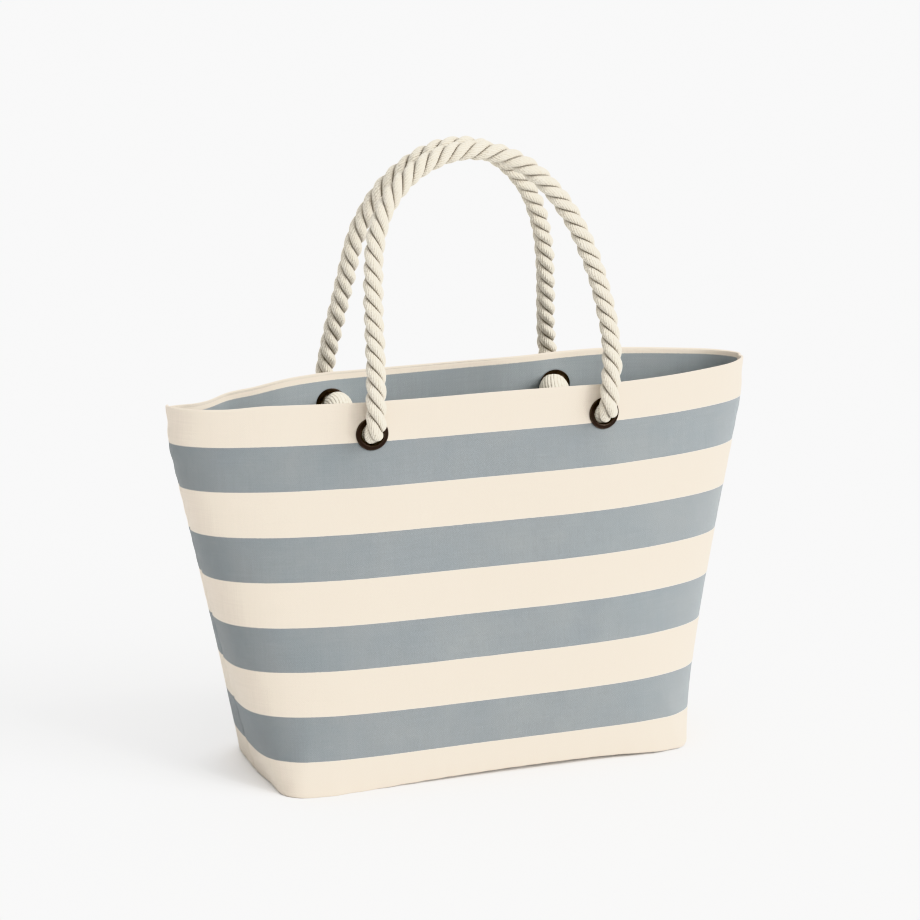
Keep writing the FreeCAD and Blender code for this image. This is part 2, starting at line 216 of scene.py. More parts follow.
class Tree:
    """Adds nodes to a node tree and joins them by keyword."""

    def __init__(self, tree):
        self.tree = tree

    def add(self, kind, settings=None, **inputs):
        node = self.tree.nodes.new(kind)
        for key, value in (settings or {}).items():
            setattr(node, key, value)
        for key, value in inputs.items():
            self.join(value, self.socket(node, key))
        return node

    def socket(self, node, key):
        name = key.replace("_", " ")
        if name.startswith("in") and name[2:].isdigit():
            return node.inputs[int(name[2:])]
        return node.inputs[name]

    def join(self, value, target):
        if isinstance(value, bpy.types.NodeSocket):
            self.tree.links.new(value, target)
        elif isinstance(value, bpy.types.Node):
            self.tree.links.new(value.outputs[0], target)
        else:
            target.default_value = value

    def maths(self, operation, first, second=0.0, third=0.0, clamp=False):
        node = self.add("ShaderNodeMath", {"operation": operation, "use_clamp": clamp})
        for index, value in enumerate((first, second, third)):
            self.join(value, node.inputs[index])
        return node.outputs[0]

    def mix(self, factor, first, second, blend="MIX"):
        """A colour mix."""
        node = self.add("ShaderNodeMix", {"data_type": "RGBA", "blend_type": blend})
        self.join(factor, node.inputs[0])
        self.join(first, node.inputs[6])
        self.join(second, node.inputs[7])
        return node.outputs[2]

    def noise(self, vector, scale, detail=3.0, roughness=0.55):
        node = self.add("ShaderNodeTexNoise", Vector=vector, Scale=scale, Detail=detail,
                        Roughness=roughness)
        return node.outputs["Fac"]

    def ridges(self, turn):
        """Rounded ridges, one for each half turn."""
        return self.maths("ABSOLUTE", self.maths("SINE", turn))

    def parts(self, vector):
        """The three parts of a vector."""
        return self.add("ShaderNodeSeparateXYZ", Vector=vector).outputs

    def own_map(self):
        """The piece's own map, in metres of cloth or turns of rope."""
        return self.add("ShaderNodeUVMap", {"uv_map": "cloth"}).outputs[0]

    def place(self):
        """The point itself."""
        return self.add("ShaderNodeTexCoord").outputs["Object"]

    def stretch(self, vector, scale):
        """A vector scaled along its own axes."""
        node = self.add("ShaderNodeVectorMath", {"operation": "MULTIPLY"}, in0=vector, in1=scale)
        return node.outputs[0]

    def ramp(self, value, low, high, new_low=0.0, new_high=1.0):
        node = self.add("ShaderNodeMapRange", {"clamp": True}, Value=value)
        for name, number in (("From Min", low), ("From Max", high),
                             ("To Min", new_low), ("To Max", new_high)):
            self.join(number, node.inputs[name])
        return node.outputs[0]


def new_group(name, inputs, outputs):
    """A shader node group with named sockets."""
    group = bpy.data.node_groups.new(name, "ShaderNodeTree")
    for label, kind, default in inputs:
        socket = group.interface.new_socket(name=label, in_out="INPUT", socket_type=kind)
        if default is not None:
            socket.default_value = default
    for label, kind in outputs:
        group.interface.new_socket(name=label, in_out="OUTPUT", socket_type=kind)
    entry = group.nodes.new("NodeGroupInput")
    leave = group.nodes.new("NodeGroupOutput")
    return group, Tree(group), entry, leave


def weave_group():
    """Plain weave: threads that pass over and under each other, with uneven yarn."""
    group, tree, entry, leave = new_group(
        "plain_weave",
        [("Cloth", "NodeSocketVector", None), ("Thread", "NodeSocketFloat", 0.001)],
        [("Height", "NodeSocketFloat"), ("Yarn", "NodeSocketFloat"), ("Slub", "NodeSocketFloat")],
    )
    cloth, thread = entry.outputs["Cloth"], entry.outputs["Thread"]
    wander = tree.noise(cloth, 60.0, 2.0)
    turns = []
    for part in tree.parts(cloth)[:2]:
        bent = tree.maths("MULTIPLY_ADD", wander, 0.0012, part)
        turns.append(tree.maths("MULTIPLY", tree.maths("DIVIDE", bent, thread), math.pi))
    waves = [tree.ridges(turn) for turn in turns]
    across = tree.maths("SINE", turns[0])
    along = tree.maths("SINE", turns[1])
    crossing = tree.maths("MULTIPLY", tree.maths("SIGN", across), tree.maths("SIGN", along))
    over = tree.ramp(crossing, -1.0, 1.0)
    warp = tree.maths("MULTIPLY", waves[0], over)
    weft = tree.maths("MULTIPLY", waves[1], tree.maths("SUBTRACT", 1.0, over))
    tree.join(tree.maths("ADD", warp, weft), leave.inputs["Height"])
    warp_yarn = tree.noise(tree.stretch(cloth, (900.0, 25.0, 1.0)), 1.0, 2.0)
    weft_yarn = tree.noise(tree.stretch(cloth, (25.0, 900.0, 1.0)), 1.0, 2.0)
    yarn = tree.maths("ADD", tree.maths("MULTIPLY", warp_yarn, 0.5),
                      tree.maths("MULTIPLY", weft_yarn, 0.5))
    tree.join(yarn, leave.inputs["Yarn"])
    slub = tree.noise(tree.stretch(cloth, (45.0, 420.0, 1.0)), 1.0, 1.0)
    tree.join(tree.ramp(slub, 0.62, 0.78), leave.inputs["Slub"])
    return group


def wear_group():
    """Faint blotches, and a darker tone towards a low edge."""
    group, tree, entry, leave = new_group(
        "soft_wear",
        [("Place", "NodeSocketVector", None), ("Size", "NodeSocketFloat", 18.0),
         ("Low Edge", "NodeSocketFloat", 0.02)],
        [("Blotch", "NodeSocketFloat"), ("Low", "NodeSocketFloat")],
    )
    place = entry.outputs["Place"]
    blotch = tree.add("ShaderNodeTexNoise", Vector=place, Scale=entry.outputs["Size"],
                      Detail=4.0, Roughness=0.6)
    tree.join(tree.ramp(blotch.outputs["Fac"], 0.35, 0.7), leave.inputs["Blotch"])
    ragged = tree.maths("MULTIPLY_ADD", blotch.outputs["Fac"], 0.012, tree.parts(place)[2])
    low = tree.ramp(ragged, 0.0, entry.outputs["Low Edge"], 1.0, 0.0)
    tree.join(low, leave.inputs["Low"])
    return group


def fibre_group():
    """Yarns and loose fibres that run along a rope, from its own map of turns and metres."""
    group, tree, entry, leave = new_group(
        "cotton_fibres",
        [("Rope", "NodeSocketVector", None), ("Yarns", "NodeSocketFloat", 27.0)],
        [("Ridge", "NodeSocketFloat"), ("Hair", "NodeSocketFloat"), ("Tone", "NodeSocketFloat")],
    )
    rope = entry.outputs["Rope"]
    wander = tree.noise(tree.stretch(rope, (9.0, 60.0, 1.0)), 1.0, 2.0)
    bent = tree.maths("MULTIPLY_ADD", wander, 0.035, tree.parts(rope)[0])
    turn = tree.maths("MULTIPLY", tree.maths("MULTIPLY", bent, entry.outputs["Yarns"]), math.pi)
    tree.join(tree.ridges(turn), leave.inputs["Ridge"])
    hair = tree.noise(tree.stretch(rope, (42.0, 620.0, 1.0)), 1.0, 4.0, 0.75)
    tree.join(hair, leave.inputs["Hair"])
    tree.join(tree.noise(tree.stretch(rope, (14.0, 70.0, 1.0)), 1.0, 3.0), leave.inputs["Tone"])
    return group


def group_of(name, build):
    """A shared node group, built once."""
    return bpy.data.node_groups.get(name) or build()


def new_material(name):
    """An empty material, its tree helper and its shader."""
    material = bpy.data.materials.new(name)
    material.use_nodes = True
    material.node_tree.nodes.clear()
    tree = Tree(material.node_tree)
    shader = tree.add("ShaderNodeBsdfPrincipled")
    tree.add("ShaderNodeOutputMaterial", Surface=shader)
    return material, tree, shader


def use_group(tree, name, build, **inputs):
    """A node that runs a shared group."""
    return tree.add("ShaderNodeGroup", {"node_tree": group_of(name, build)}, **inputs)


def finish_shader(tree, shader, colour, rough, relief, **values):
    """Joins colour, roughness and relief (height, strength, distance); sets other values."""
    tree.join(colour, shader.inputs["Base Color"])
    tree.join(rough, shader.inputs["Roughness"])
    height, strength, distance = relief
    bump = tree.add("ShaderNodeBump", Strength=strength, Distance=distance, Height=height)
    tree.join(bump, shader.inputs["Normal"])
    for name, value in values.items():
        tree.join(value, tree.socket(shader, name))


THREAD_GAP_SHADE = (0.25, 0.2, 0.16, 1.0)
SLUB = (0.93, 0.88, 0.80, 1.0)
STAIN = (0.62, 0.52, 0.40, 1.0)
GROUND_DUST = (0.55, 0.46, 0.36, 1.0)
INNER_CREAM_PAINTED_LIGHT, INNER_BLUE_PAINTED_LIGHT = 1.25, 1.6      # painted light: the folded hem inside the rim is made paler so it looks more brightly lit


def canvas_material(name, sizes, colours, striped):
    """Plain woven canvas, striped along its own map or all cream."""
    material, tree, shader = new_material(name)
    cloth = tree.own_map()
    weave = use_group(tree, "plain_weave", weave_group, Cloth=cloth, Thread=sizes.thread)
    wear = use_group(tree, "soft_wear", wear_group, Place=tree.place(), Size=16.0,
                     Low_Edge=0.022)
    cream = (*colours.cream, 1.0)
    colour = cream
    if striped:
        down = tree.parts(cloth)[1]
        ragged = tree.noise(tree.stretch(cloth, (1500.0, 300.0, 1.0)), 1.0, 1.0)
        edge = tree.maths("MULTIPLY_ADD", ragged, 0.0006, down)
        shifted = tree.maths("SUBTRACT", edge, sizes.first_stripe - 2 * sizes.stripe + 0.0003)
        phase = tree.maths("FLOORED_MODULO", shifted, 2 * sizes.stripe)
        band = tree.maths("LESS_THAN", phase, sizes.stripe)
        folded = tree.maths("LESS_THAN", down, 0.0)
        outside = tree.mix(band, cream, (*colours.blue, 1.0))
        # painted light: the hem inside the rim gets lightened copies of the stripe colours
        inside = tree.mix(band, (*(value * INNER_CREAM_PAINTED_LIGHT for value in colours.cream), 1.0),
                          (*(value * INNER_BLUE_PAINTED_LIGHT for value in colours.blue), 1.0))
        colour = tree.mix(folded, outside, inside)
    shade = tree.ramp(weave.outputs["Yarn"], 0.3, 0.7, 0.94, 1.05)
    colour = tree.mix(1.0, colour, tree.add("ShaderNodeCombineColor", in0=shade, in1=shade,
                                            in2=shade).outputs[0], "MULTIPLY")
    # painted shade: darker in the low places between the woven threads
    gap = tree.ramp(weave.outputs["Height"], 0.0, 0.45, 0.20, 0.0)
    colour = tree.mix(gap, colour, tree.mix(0.55, colour, THREAD_GAP_SHADE))
    fleck = tree.maths("MULTIPLY", weave.outputs["Slub"], 0.012)
    colour = tree.mix(fleck, colour, SLUB)
    stain = tree.maths("MULTIPLY", wear.outputs["Blotch"], 0.05)
    colour = tree.mix(stain, colour, STAIN)
    dust = tree.maths("MULTIPLY", wear.outputs["Low"], 0.16)
    colour = tree.mix(dust, colour, GROUND_DUST)
    rough = tree.ramp(weave.outputs["Yarn"], 0.3, 0.7, 0.84, 0.96)
    height = tree.maths("MULTIPLY_ADD", weave.outputs["Yarn"], 0.5, weave.outputs["Height"])
    finish_shader(tree, shader, colour, rough, (height, 0.55, 0.00035),
                  Specular_IOR_Level=0.25, Sheen_Weight=0.18, Sheen_Roughness=0.55)
    return material


TAPE_RIB = 0.9 * MM      # from rib to rib of the twill
TAPE_SHADE = (0.50, 0.42, 0.32, 1.0)


def tape_material(name, colours):
    """Narrow twill tape: fine diagonal ribs, with painted shade in the troughs between them."""
    material, tree, shader = new_material(name)
    cloth = tree.own_map()
    parts = tree.parts(cloth)
    slant = tree.maths("ADD", parts[0], parts[1])
    rib = tree.ridges(tree.maths("MULTIPLY", slant, math.pi / TAPE_RIB))
    fuzz = tree.noise(tree.stretch(cloth, (600.0, 600.0, 1.0)), 1.0, 3.0)
    # darker where the fuzz noise is low (random tone) and in the troughs between the ribs (painted
    # shade)
    tone = tree.ramp(tree.maths("MULTIPLY_ADD", fuzz, 0.6, tree.maths("MULTIPLY", rib, 0.4)),
                     0.2, 0.9, 0.35, 0.0)
    colour = tree.mix(tone, (*colours.tape, 1.0), TAPE_SHADE)
    rough = tree.ramp(fuzz, 0.2, 0.8, 0.8, 0.95)
    finish_shader(tree, shader, colour, rough, (rib, 0.5, 0.0003), Specular_IOR_Level=0.25)
    return material


YARNS = 27.0             # round the rope
ROPE_PALE = (0.92, 0.88, 0.79, 1.0)
YARN_GAP_SHADE = (0.33, 0.27, 0.19, 1.0)
HAIR_SHADE = (0.34, 0.28, 0.20, 1.0)
ROPE_GRIME = (0.50, 0.42, 0.31, 1.0)
STRAND_GAP_SHADE = (0.15, 0.11, 0.07, 1.0)


def rope_material(name, colours):
    """Natural cotton: yarns, loose fibres, painted shade between the yarns and in the grooves
    between the strands, a little grime.
    """
    material, tree, shader = new_material(name)
    rope = tree.own_map()
    fibres = use_group(tree, "cotton_fibres", fibre_group, Rope=rope, Yarns=YARNS)
    wear = use_group(tree, "soft_wear", wear_group, Place=tree.place(), Size=40.0, Low_Edge=0.02)
    groove = tree.add("ShaderNodeAttribute", {"attribute_name": "groove"}).outputs["Fac"]
    colour = tree.mix(tree.ramp(fibres.outputs["Tone"], 0.35, 0.7, 0.0, 0.5),
                      (*colours.rope, 1.0), ROPE_PALE)
    # painted shade: darker between the yarns and, strongly, in the grooves between the strands
    for amount, tone in ((tree.ramp(fibres.outputs["Ridge"], 0.0, 0.6, 0.40, 0.0), YARN_GAP_SHADE),
                         (tree.ramp(fibres.outputs["Hair"], 0.36, 0.56, 0.54, 0.0), HAIR_SHADE),
                         (tree.maths("MULTIPLY", wear.outputs["Blotch"], 0.08), ROPE_GRIME),
                         (tree.maths("MULTIPLY", groove, 0.92), STRAND_GAP_SHADE)):
        colour = tree.mix(amount, colour, tone)
    rough = tree.ramp(fibres.outputs["Tone"], 0.2, 0.8, 0.80, 0.95)
    height = tree.maths("MULTIPLY_ADD", fibres.outputs["Hair"], 0.8, fibres.outputs["Ridge"])
    finish_shader(tree, shader, colour, rough, (height, 1.0, 0.0007),
                  Specular_IOR_Level=0.2, Sheen_Weight=0.2, Sheen_Roughness=0.6)
    return material


def thread_material(name, tone):
    """Twisted sewing thread."""
    material, tree, shader = new_material(name)
    twist = tree.noise(tree.stretch(tree.place(), (3500.0, 3500.0, 3500.0)), 1.0, 2.0)
    dark = tuple(value * 0.6 for value in tone)
    colour = tree.mix(tree.ramp(twist, 0.35, 0.65, 0.5, 0.0), (*tone, 1.0), (*dark, 1.0))
    rough = tree.ramp(twist, 0.3, 0.7, 0.6, 0.8)
    finish_shader(tree, shader, colour, rough, (twist, 0.4, 0.0001))
    return material


RUBBED_METAL = (0.20, 0.16, 0.13, 1.0)


def metal_material(name, colours):
    """Dark antique plating, rubbed to warm brass along its edges, finely scratched."""
    material, tree, shader = new_material(name)
    place = tree.place()
    wear = use_group(tree, "soft_wear", wear_group, Place=place, Size=220.0, Low_Edge=0.0)
    pointy = tree.add("ShaderNodeNewGeometry").outputs["Pointiness"]
    edge = tree.ramp(pointy, 0.505, 0.56)
    rubbed = tree.maths("MULTIPLY", edge, wear.outputs["Blotch"])
    colour = tree.mix(rubbed, (*colours.metal, 1.0), RUBBED_METAL)
    scratch = tree.noise(tree.stretch(place, (3000.0, 3000.0, 400.0)), 1.0, 3.0)
    rough = tree.ramp(scratch, 0.3, 0.7, 0.30, 0.44)
    finish_shader(tree, shader, colour, rough, (scratch, 0.15, 0.0002), Metallic=1.0)
    return material


FINISHES = {}


def finish_of(name):
    """A finish, built on first use."""
    if name not in FINISHES:
        sizes, colours = bpy.context.scene.beachbag_sizes, bpy.context.scene.beachbag_colours
        build = {
            "striped_canvas": lambda: canvas_material(name, sizes, colours, True),
            "base_canvas": lambda: canvas_material(name, sizes, colours, False),
            "binding_tape": lambda: tape_material(name, colours),
            "cotton_rope": lambda: rope_material(name, colours),
            "antique_metal": lambda: metal_material(name, colours),
            "pale_thread": lambda: thread_material(name, colours.tape),
            "tonal_thread": lambda: thread_material(name, colours.blue),
        }
        FINISHES[name] = build[name]()
    return FINISHES[name]


# --- Shape of the canvas ---

OUTLINE_SAMPLES = 360
CALM = 24 * MM           # round an eyelet the cloth is held flat
FOOT = 0.25 * MM         # the cloth's lowest edge
BARREL = 10.3 * MM       # hole for an eyelet's barrel
SEAM_DIP = 1.6 * MM      # the cloth turns in at a side seam
SEAM_ROUND = 1.3 * MM    # over about this far
HALF_SEAM = 0.05 * MM    # from a panel's edge to the middle of the seam


def bell(value, centre, width):
    """1 at the centre, falling off smoothly on both sides."""
    return math.exp(-((value - centre) / width) ** 2)


def ease(value):
    """0 below 0, 1 above 1, smooth between."""
    value = min(1.0, max(0.0, value))
    return value * value * (3 - 2 * value)


# How the standing bag has settled
TUCK = 2.5 * MM          # the left foot, drawn in
ARCH = 4.5 * MM          # the front edge, raised off the ground between its corners
ARCH_CENTRE, ARCH_HALF = 0.05, 0.16
FLARE = 6 * MM           # the front corners, pushed forward at the ground
FLARE_PLACE, FLARE_WIDTH = 0.162, 0.035
CUT = 5 * MM             # the left end, drawn in behind its front corner
CUT_PLACE, CUT_WIDTH = -0.045, 0.025
PINCH = 0.8              # how far the back rim closes on the front one at the left
DROOP = {FRONT: 2.4 * MM, BACK: 4.5 * MM}    # the rim's left end, sunk
DRAWN = 6 * MM           # both ends of the rim, drawn in
RIM_ZONE = 45 * MM       # below the rim, the height that these last three fade over


def settled(x, y, z):
    """Where a point of the even shape lies once the bag has settled on the ground."""
    forward = min(1.0, max(0.0, -y / BELLY_HALF_DEPTH))
    tucked = ease((-0.10 - x) / 0.06) * ease((y + 0.08) / 0.07) * math.exp(-z / 0.04)
    raised = max(0.0, 1 - ((x - ARCH_CENTRE) / ARCH_HALF) ** 2) * forward ** 4
    high = ease((z - RIM + RIM_ZONE) / RIM_ZONE)
    if y < 0:
        low = math.exp(-z / 0.025)
        flared = bell(abs(x), FLARE_PLACE, FLARE_WIDTH) * forward ** 2
        cut = bell(y, CUT_PLACE, CUT_WIDTH) * ease((-0.12 - x) / 0.05)
        x += CUT * cut * low
        y -= FLARE * flared * low
    else:
        y *= 1 - PINCH * ease((-0.197 - x) / 0.045) * high
    z += ARCH * raised * math.exp(-z / 0.02)
    z -= DROOP[FRONT if y < 0 else BACK] * ease((-0.185 - x) / 0.04) * high
    x -= math.copysign(DRAWN, x) * ease((abs(x) - 0.232) / 0.038) * high
    return x + TUCK * tucked, y, z


def half_sizes(share, sizes):
    """Half width and half depth of the bag at a share of its height."""
    width = sizes.base_half_width + (TOP_HALF_WIDTH - sizes.base_half_width) * share
    eased = max(share, 0.0) ** DEPTH_DELAY
    drawn_in = eased * eased * (3 - 2 * eased)
    depth = sizes.base_half_depth + (sizes.mouth_half_depth - sizes.base_half_depth) * drawn_in
    return width, depth


def outline(share, inset, sizes, columns):
    """Points of the back half of an outline, at these shares of its length from the left seam."""
    width, depth = half_sizes(share, sizes)
    corner = (1 - share) ** CORNER_FADE
    bow = BASE_BOW + (TOP_BOW - BASE_BOW) * share + CORNER_BOW * corner
    tip = BASE_TIP + (TOP_TIP - BASE_TIP) * share - CORNER_TIP * corner
    steps = np.linspace(0.0, math.pi, OUTLINE_SAMPLES)
    angle = math.pi * 0.5 * (1 - np.cos(steps))
    run, rise = np.cos(angle), np.clip(np.sin(angle), 0.0, 1.0)
    x = -np.sign(run) * (width - inset) * np.abs(run) ** (2 / bow)
    y = (depth - inset) * rise ** (2 * tip)
    y[0] = y[-1] = 0.0
    length = np.concatenate([[0.0], np.cumsum(np.hypot(np.diff(x), np.diff(y)))])
    places = columns * length[-1]
    return np.interp(places, length, x), np.interp(places, length, y), length[-1]


def canvas_profile(sizes):
    """The canvas from its outer foot over the rim and down inside: (height, inset, cloth run)."""
    cloth, roll = sizes.cloth, sizes.cloth
    foot = 3 * MM
    rows = []
    for share in np.linspace(0.0, 1.0, 7)[:-1]:
        height = FOOT + (foot - FOOT) * share
        rows.append((height, 1.1 * MM * (1 - share) ** 2, RIM - height))
    for height in np.linspace(foot, RIM - roll, 96):
        rows.append((height, 0.0, RIM - height))
    for angle in np.linspace(0.0, math.pi, 9)[1:-1]:
        rows.append((RIM - roll + roll * math.sin(angle), roll - roll * math.cos(angle),
                     roll * math.cos(angle)))
    fold_shift = sizes.stripe - sizes.first_stripe - 5 * MM
    hem_end = RIM - sizes.hem
    for height in np.linspace(RIM - roll, hem_end, 18):
        rows.append((height, 2 * cloth, height - RIM - fold_shift))
    rows.append((hem_end - 0.6 * MM, 1.6 * cloth, hem_end - RIM - fold_shift))
    rows.append((hem_end - 0.7 * MM, 1.05 * cloth, sizes.hem))
    for height in np.linspace(hem_end - 1.2 * MM, 1.5 * MM, 60):
        rows.append((height, cloth, RIM - height))
    return rows


# How far each kind of fold stands out of the even cloth
BROAD_FOLD, FINE_FOLD = 1.9 * MM, 0.6 * MM
PULL = 1.5 * MM          # from an eyelet outwards and down
PUCKER, PUCKER_STEP = 0.45 * MM, 17 * MM     # along a side seam
SKIRT, SKIRT_STEP = 0.35 * MM, 21 * MM       # along the ground
CORNER_FOLD = 1.8 * MM   # up from a corner of the base
BACK_PINCH = 8 * MM      # inwards at the back panel's left end
SEED = {FRONT: 3.7, BACK: 11.3}


def drape(side, x, height, seam_gap):
    """How far the cloth stands out of its even shape, in metres."""
    share = min(1.0, max(0.0, height / RIM))
    seed = SEED[side]
    broad = noise.noise(Vector((x * 9.0 + seed, height * 5.0, seed)))
    finer = noise.noise(Vector((x * 26.0, height * 14.0 + seed, seed * 2)))
    away = min(1.0, seam_gap / 0.05)
    free = away * (0.35 + 0.65 * math.sin(math.pi * share) ** 0.8)
    out = (BROAD_FOLD * broad + FINE_FOLD * finer) * free
    calm = 1.0
    for eyelet in (ROUTES[side][0], ROUTES[side][-1]):
        away = math.hypot(x - eyelet[0], height - eyelet[2])
        calm = min(calm, 1 - bell(away, 0.0, CALM))
        drop = max((eyelet[2] - height) / 0.11, 0.0)
        lean = (x - eyelet[0]) * (1 if eyelet[0] > 0 else -1)
        out += PULL * bell(lean, 0.014 * drop, 0.012 + 0.018 * drop) * math.exp(-drop)
    out *= calm
    pucker = math.exp(-seam_gap / 0.009) * PUCKER
    out += pucker * math.sin(height * 2 * math.pi / PUCKER_STEP + 1.7 * math.sin(height * 31))
    skirt = math.exp(-height / 0.012) * SKIRT
    out += skirt * math.sin(x * 2 * math.pi / SKIRT_STEP + 2.0 * math.sin(x * 23))
    boxed = max(0.0, 1 - height / 0.07)
    out += CORNER_FOLD * boxed * bell(abs(x), 0.178 - 0.25 * height, 0.009)
    if side == BACK:
        out -= BACK_PINCH * bell(x, -0.19, 0.05) * share ** 4
    return out


# Rises and dips of a rim: height in millimetres, place and width
RIM_WAVES = {
    FRONT: ((-0.8, -0.08, 0.09), (-2.7, 0.14, 0.11)),
    BACK: ((3.0, 0.15, 0.06), (-3.5, -0.19, 0.035)),
}
RIM_SEED = {FRONT: 5.1, BACK: 8.9}


def rim_wave(side, x, height):
    """How far the cloth rises or dips towards its rim, in metres."""
    wave = 0.7 * noise.noise(Vector((x * 9.0, RIM_SEED[side], 0.3)))
    wave += sum(rise * bell(x, place, width) for rise, place, width in RIM_WAVES[side])
    return wave * min(1.0, max(0.0, height / RIM)) ** 6 * MM


def panel_columns(count):
    """Column places from seam to seam, closer together beside the seams."""
    even = np.linspace(0.0, 1.0, count)
    near = np.array([0.0, 0.0008, 0.0019, 0.0034, 0.0052])
    return np.concatenate([near, even[1:-1], 1 - near[::-1]])


def cloth_line(side, height, inset, columns, sizes):
    """Points of the draped cloth at one height, and the outline's length there."""
    x, y, length = outline(height / RIM, inset, sizes, columns)
    gap = np.minimum(columns, 1 - columns) * length
    along_x, along_y = np.gradient(x), np.gradient(y)
    size = np.hypot(along_x, along_y)
    points = []
    for index, place in enumerate(x):
        fade = min(1.0, gap[index] / (2 * MM))
        out = drape(side, place, height, gap[index]) * fade
        out -= SEAM_DIP * math.exp(-gap[index] / SEAM_ROUND)
        px = place - along_y[index] / size[index] * out
        py = max(HALF_SEAM, y[index] + along_x[index] / size[index] * out)
        if gap[index] == 0.0:
            px, py = place - math.copysign(SEAM_DIP, place), HALF_SEAM
        rise = rim_wave(side, place, height)
        points.append(settled(px, side * py, height + rise))
    return points, length


def panel_mesh(name, side, sizes):
    """One canvas panel as a closed shell, with its hem folded in."""
    columns = panel_columns(150)
    rows = canvas_profile(sizes)
    slip = 0.8 * MM if side == BACK else 0.0
    points, cloth_map = [], []
    for height, inset, run in rows:
        line, length = cloth_line(side, height, inset, columns, sizes)
        points += line
        for column, place in zip(columns, line):
            askew = (0.6 - 6 * place[0]) * MM if run < 0 and side == BACK else 0.0
            cloth_map.append(((column - 0.5) * length * side, run + slip + askew))
    count = len(columns)
    faces = grid_faces(len(rows), count, wrap=True)
    for column in (0, count - 1):
        faces += end_cap(rows, count, column)
    panel = link_mesh(name, points, faces)
    set_uv(panel, cloth_map)
    return panel


def end_cap(rows, count, column):
    """Triangles that join a seam's outer edge to its inner edge."""
    first, last = 0, len(rows) - 1
    faces = []
    while last - first > 2:
        lower_outer, lower_inner = first * count + column, last * count + column
        if rows[first + 1][0] <= rows[last - 1][0]:
            faces.append((lower_outer, (first + 1) * count + column, lower_inner))
            first += 1
        else:
            faces.append((lower_outer, (last - 1) * count + column, lower_inner))
            last -= 1
    faces.append((first * count + column, (first + 1) * count + column, last * count + column))
    return faces


def turn_outward(obj):
    """Turns all faces outwards, whatever order they were made in."""
    work = bmesh.new()
    work.from_mesh(obj.data)
    bmesh.ops.recalc_face_normals(work, faces=work.faces)
    if work.calc_volume(signed=True) < 0:
        bmesh.ops.reverse_faces(work, faces=work.faces)
    work.to_mesh(obj.data)
    work.free()
    return obj


def pierce(panel, side, side_name):
    """Cuts the two holes that the eyelets' barrels go through."""
    for _, hand_name in HANDS:
        place = eyelet_frame(f"{side_name}_{hand_name}_washer", side)
        tool = lathe("hole", [(0.01 * MM, -12 * MM), (BARREL, -12 * MM),
                              (BARREL, 12 * MM), (0.01 * MM, 12 * MM)], 48, place)
        cut = panel.modifiers.new("hole", "BOOLEAN")
        cut.operation = "DIFFERENCE"
        cut.object = tool
        cut.solver = "EXACT"
        plain_mesh(panel)
        bpy.data.objects.remove(tool)


# --- Base cloth, bound seams and stitches ---


def closed_line(height, inset, sizes, count):
    """A whole outline of the bag as a closed ring of points, anticlockwise from above."""
    columns = np.linspace(0.0, 1.0, count)
    x, y, _ = outline(height / RIM, inset, sizes, columns)
    back = np.stack([x, y], axis=1)[::-1]
    front = np.stack([x, -y], axis=1)[1:-1]
    flat = np.concatenate([back, front])
    return np.array([settled(px, py, height) for px, py in flat])


def base_mesh(name, sizes):
    """The doubled base cloth: two slightly uneven faces that meet round its edge."""
    edge = closed_line(0.0, sizes.seam_gap, sizes, 90)
    thick = BASE_HIGH.z - FOOT
    shares = [0.9985, 0.99, 0.96, 0.91, 0.84, 0.75, 0.65, 0.54, 0.42, 0.30, 0.18, 0.07]
    levels = [(0.0, share) for share in shares[::-1]] + [(0.5, 1.0)]
    levels += [(1.0, share) for share in shares]
    points, cloth_map = [], []
    for rise, share in levels:
        for x, y, z in edge:
            px, py = x * share, y * share
            inside = 1 - share ** 8
            swell = noise.noise(Vector((px * 17, py * 17, rise * 9)))
            lift = rise * thick + (0.25 + 0.25 * swell) * MM * inside + z * (1 - inside)
            points.append((px, py, FOOT + lift))
            cloth_map.append((px, py))
    faces = grid_faces(len(levels), len(edge), around=True)
    for first in (0, (len(levels) - 1) * len(edge)):
        faces.append(tuple(range(first, first + len(edge))))
    base = link_mesh(name, points, faces)
    set_uv(base, cloth_map)
    return turn_outward(base)


def tape_section(width, depth):
    """A seam's folded tape, cut across: a slot shape, round at its free edge."""
    points = []
    for step in range(24):
        angle = 2 * math.pi * step / 24
        run, rise = math.cos(angle), math.sin(angle)
        points.append((math.copysign(abs(run) ** 0.6, run) * width / 2,
                       math.copysign(abs(rise) ** 0.35, rise) * depth / 2))
    return points


def sweep(name, line, across, up, section, closed):
    """Carries a section along a line; across and up are its directions at each point."""
    points, cloth_map = [], []
    run = 0.0
    for index, place in enumerate(line):
        if index:
            run += float(np.linalg.norm(line[index] - line[index - 1]))
        swell = 1 + 0.09 * noise.noise(Vector((run * 90, 2.0, 5.0)))
        bend = 0.5 * MM * noise.noise(Vector((run * 40, 7.0, 1.0)))
        around = 0.0
        for corner, (wide, tall) in enumerate(section):
            if corner:
                before = section[corner - 1]
                around += math.hypot(wide - before[0], tall - before[1])
            points.append(place + across[index] * (wide * swell + bend) + up[index] * tall)
            cloth_map.append((around, run))
    rings, count = len(line), len(section)
    faces = grid_faces(rings, count, wrap=closed, around=True)
    if not closed:
        faces.append(tuple(range(count)))
        faces.append(tuple((rings - 1) * count + corner for corner in range(count)))
    tape = link_mesh(name, points, faces)
    set_uv(tape, cloth_map)
    return turn_outward(tape)


def ring_directions(line):
    """Level directions that point out of a closed ring of points."""
    along = np.roll(line, -1, axis=0) - np.roll(line, 1, axis=0)
    out = np.column_stack([along[:, 1], -along[:, 0], np.zeros(len(line))])
    return out / np.linalg.norm(out, axis=1)[:, None]


def base_seam(sizes):
    """Line, across and up of the seam that stands round the base."""
    middle = BASE_HIGH.z + sizes.tape_depth / 2
    line = closed_line(middle, sizes.seam_gap + sizes.tape_width / 2 + 0.2 * MM, sizes, 180)
    up = np.tile((0.0, 0.0, 1.0), (len(line), 1))
    return line, ring_directions(line), up


